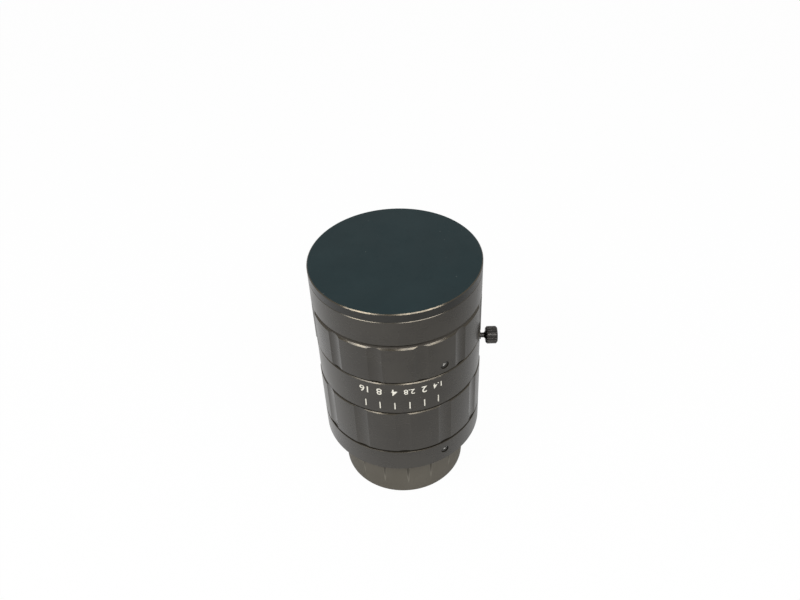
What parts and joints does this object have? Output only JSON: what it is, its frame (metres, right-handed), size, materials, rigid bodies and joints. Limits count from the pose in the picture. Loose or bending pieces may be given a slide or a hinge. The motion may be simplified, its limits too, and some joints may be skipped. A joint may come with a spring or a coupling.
{
  "type": "c-mount machine vision lens",
  "caption": "Compact fixed-focal lens standing on its rear cap, with focus and iris rings, lock screws, C-mount thread and a front cap.",
  "frame": {"origin": "centre of the rear cap's bottom face, on which the lens stands", "axes": "+Z along the optical axis towards the front of the lens; the iris lock screw points towards +X and the focus lock screw towards +Y"},
  "size_m": [0.0431, 0.0431, 0.0643],
  "materials": {
    "barrel_black": "fine-turned, black anodised, semi-gloss",
    "inner_black": "black anodised, matt",
    "brass": "turned brass",
    "screw_black": "blackened steel",
    "steel": "ground steel",
    "pad_plastic": "natural nylon",
    "blade_steel": "blued steel leaf, matt",
    "lens_glass": "polished, coated",
    "front_cap_plastic": "moulded, fine matt top, smooth rim",
    "rear_cap_plastic": "moulded, slightly brownish black"
  },
  "bodies": {
    "fixed_barrel": {"rear_mount_body": "barrel_black", "main_barrel": "inner_black", "mount_set_screws": "screw_black", "focus_retaining_ring": "inner_black", "focus_stop_pin": "steel"},
    "focus_ring": {"focus_ring": "barrel_black", "helicoid_sleeve": "brass", "focus_ring_set_screws": "screw_black"},
    "focus_lock_pad": {"focus_lock_pad": "pad_plastic"},
    "focus_lock_screw": {"focus_lock_screw": "screw_black"},
    "iris_ring": {"iris_ring": "barrel_black"},
    "iris_lock_pad": {"iris_lock_pad": "pad_plastic"},
    "iris_lock_screw": {"iris_lock_screw": "screw_black"},
    "iris_cam": {"iris_cam_ring": "inner_black", "iris_drive_pin": "steel"},
    "front_cap": {"front_cap": "front_cap_plastic"},
    "rear_cap": {"rear_cap": "rear_cap_plastic"},
    "iris_blade_1": {"iris_blade_1": "blade_steel"},
    "iris_blade_2": {"iris_blade_2": "blade_steel"},
    "iris_blade_3": {"iris_blade_3": "blade_steel"},
    "iris_blade_4": {"iris_blade_4": "blade_steel"},
    "iris_blade_5": {"iris_blade_5": "blade_steel"},
    "iris_blade_6": {"iris_blade_6": "blade_steel"},
    "lens_unit": {"front_barrel": "barrel_black", "front_retaining_ring": "inner_black", "front_lens_cell": "inner_black", "guide_pins": "steel", "front_element": "lens_glass", "front_spacer": "inner_black", "second_element": "lens_glass", "middle_spacer": "inner_black", "third_element": "lens_glass", "iris_base_plate": "inner_black", "rear_lens_cell": "inner_black", "rear_retaining_ring": "inner_black", "fourth_element": "lens_glass", "doublet_front_element": "lens_glass", "doublet_rear_element": "lens_glass", "seventh_element": "lens_glass", "eighth_element": "lens_glass", "rear_spacer_1": "inner_black", "rear_spacer_2": "inner_black", "rear_spacer_3": "inner_black"}
  },
  "joints": [
    {"name": "focus_turn", "type": "hinge", "parent": "fixed_barrel", "child": "focus_ring", "pos_m": [0, 0, 0.04455], "axis": [0, 0, 1], "range_deg": [-120, 120]},
    {"name": "focus_travel", "type": "slide", "parent": "fixed_barrel", "child": "lens_unit", "axis": [0, 0, 1], "range_m": [-0.000251, 0.000251]},
    {"name": "iris_turn", "type": "hinge", "parent": "fixed_barrel", "child": "iris_ring", "pos_m": [0, 0, 0.02147], "axis": [0, 0, 1], "range_deg": [0, 50]},
    {"name": "iris_cam_turn", "type": "hinge", "parent": "lens_unit", "child": "iris_cam", "pos_m": [0, 0, 0.04051], "axis": [0, 0, 1], "range_deg": [-0.1, 50.1]},
    {"name": "iris_blade_1_swing", "type": "hinge", "parent": "lens_unit", "child": "iris_blade_1", "pos_m": [0, -0.0105, 0.03846], "axis": [0, 0, 1], "range_deg": [-0.1, 22.6]},
    {"name": "iris_blade_2_swing", "type": "hinge", "parent": "lens_unit", "child": "iris_blade_2", "pos_m": [0.00909, -0.00525, 0.03846], "axis": [0, 0, 1], "range_deg": [-0.1, 22.6]},
    {"name": "iris_blade_3_swing", "type": "hinge", "parent": "lens_unit", "child": "iris_blade_3", "pos_m": [0.00909, 0.00525, 0.03846], "axis": [0, 0, 1], "range_deg": [-0.1, 22.6]},
    {"name": "iris_blade_4_swing", "type": "hinge", "parent": "lens_unit", "child": "iris_blade_4", "pos_m": [0, 0.0105, 0.03846], "axis": [0, 0, 1], "range_deg": [-0.1, 22.6]},
    {"name": "iris_blade_5_swing", "type": "hinge", "parent": "lens_unit", "child": "iris_blade_5", "pos_m": [-0.00909, 0.00525, 0.03846], "axis": [0, 0, 1], "range_deg": [-0.1, 22.6]},
    {"name": "iris_blade_6_swing", "type": "hinge", "parent": "lens_unit", "child": "iris_blade_6", "pos_m": [-0.00909, -0.00525, 0.03846], "axis": [0, 0, 1], "range_deg": [-0.1, 22.6]},
    {"name": "focus_lock_travel", "type": "slide", "parent": "focus_ring", "child": "focus_lock_pad", "axis": [0, 1, 0], "range_m": [-0.00013333, 0.0002]},
    {"name": "focus_lock_turn", "type": "hinge", "parent": "focus_lock_pad", "child": "focus_lock_screw", "pos_m": [0, 0.0196, 0.04732], "axis": [0, 1, 0], "range_deg": [-122, 182]},
    {"name": "iris_lock_travel", "type": "slide", "parent": "iris_ring", "child": "iris_lock_pad", "axis": [0.9994, -0.0349, 0], "range_m": [-0.00013333, 0.0002]},
    {"name": "iris_lock_turn", "type": "hinge", "parent": "iris_lock_pad", "child": "iris_lock_screw", "pos_m": [0.01959, -0.00068, 0.04013], "axis": [0.9994, -0.0349, 0], "range_deg": [-122, 182]},
    {"name": "front_cap_off", "type": "slide", "parent": "lens_unit", "child": "front_cap", "axis": [0, 0, 1], "range_m": [0, 0.03]},
    {"name": "rear_cap_off", "type": "slide", "parent": "rear_cap", "child": "fixed_barrel", "axis": [0, 0, 1], "range_m": [0, 0.03]}
  ],
  "couplings": [
    {"joint": "focus_travel", "follows": "focus_turn", "m_per_rad": -0.00011937},
    {"joint": "iris_cam_turn", "follows": "iris_turn", "ratio": 1},
    {"joint": "iris_blade_1_swing", "follows": "iris_turn", "ratio": 0.45},
    {"joint": "iris_blade_2_swing", "follows": "iris_turn", "ratio": 0.45},
    {"joint": "iris_blade_3_swing", "follows": "iris_turn", "ratio": 0.45},
    {"joint": "iris_blade_4_swing", "follows": "iris_turn", "ratio": 0.45},
    {"joint": "iris_blade_5_swing", "follows": "iris_turn", "ratio": 0.45},
    {"joint": "iris_blade_6_swing", "follows": "iris_turn", "ratio": 0.45},
    {"joint": "focus_lock_turn", "follows": "focus_lock_travel", "rad_per_m": 15708},
    {"joint": "iris_lock_turn", "follows": "iris_lock_travel", "rad_per_m": 15708}
  ]
}
